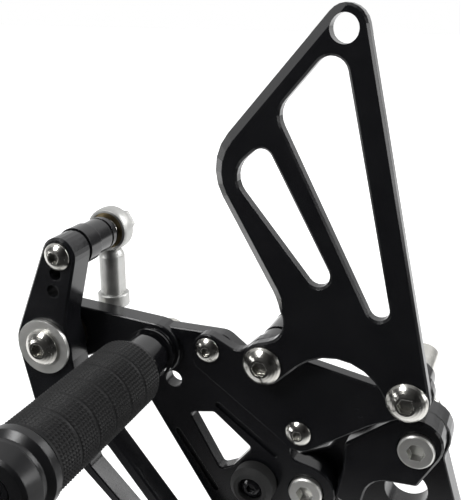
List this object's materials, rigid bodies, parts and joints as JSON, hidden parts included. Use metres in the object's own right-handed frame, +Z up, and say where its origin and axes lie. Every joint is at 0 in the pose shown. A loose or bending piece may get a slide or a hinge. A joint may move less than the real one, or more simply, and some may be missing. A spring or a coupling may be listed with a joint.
{
  "type": "motorcycle rear set footrest",
  "caption": "One-side rider footrest set: bolted aluminium frame plates, heel guard, knurled footpeg and a pivoting shift lever with a rod end.",
  "frame": {"origin": "axis of the rear frame bolt, on the face of the back plate that meets the frame", "axes": "+Y inboard, along the frame bolts into the machine; +Z up; +X to the rear of the machine"},
  "size_m": [0.1701, 0.1475, 0.2255],
  "materials": {
    "anodised": "satin black anodised",
    "gloss_black": "glossy black anodised",
    "stainless": "polished",
    "zinc": "dull zinc plating",
    "bronze": "sintered bronze",
    "rubber": "matte"
  },
  "bodies": {
    "plates": {"back_plate": "anodised", "clamp_plate": "anodised", "base_plate": "anodised", "guard_carrier": "anodised", "heel_guard": "anodised", "guard_screws": "stainless", "guard_standoff": "gloss_black", "guard_spacer": "gloss_black", "guard_nuts": "stainless", "carrier_screws": "stainless", "frame_bolts": "stainless", "bump_stop": "rubber", "bump_screw": "gloss_black", "footpeg": "anodised", "peg_mount": "gloss_black", "peg_collar": "gloss_black", "peg_end_cap": "gloss_black", "peg_bolt": "stainless", "peg_cap_screw": "gloss_black", "pivot_shaft": "stainless", "pivot_screw": "stainless", "pivot_washer": "stainless", "thrust_washer": "bronze", "pivot_nut": "stainless"},
    "lever": {"shift_lever": "anodised", "pivot_bush": "bronze", "link_screw": "stainless", "link_spacer": "gloss_black", "link_nut": "zinc", "toe_peg": "gloss_black", "toe_screw": "stainless"},
    "ball": {"rod_ball": "stainless"},
    "rod": {"rod_end": "zinc", "rod_race": "bronze"}
  },
  "joints": [
    {"name": "lever_pivot", "type": "hinge", "parent": "plates", "child": "lever", "pos_m": [-0.1396, -0.031, 0.0233], "axis": [0, -1, 0], "range_deg": [-12, 20]},
    {"name": "rod_swing", "type": "hinge", "parent": "lever", "child": "ball", "pos_m": [-0.13105, 0.0016, 0.06033], "axis": [0, 1, 0], "continuous": true},
    {"name": "rod_tilt", "type": "hinge", "parent": "ball", "child": "rod", "pos_m": [-0.13105, 0.0016, 0.06033], "axis": [1, 0, 0], "range_deg": [-4, 10]}
  ]
}
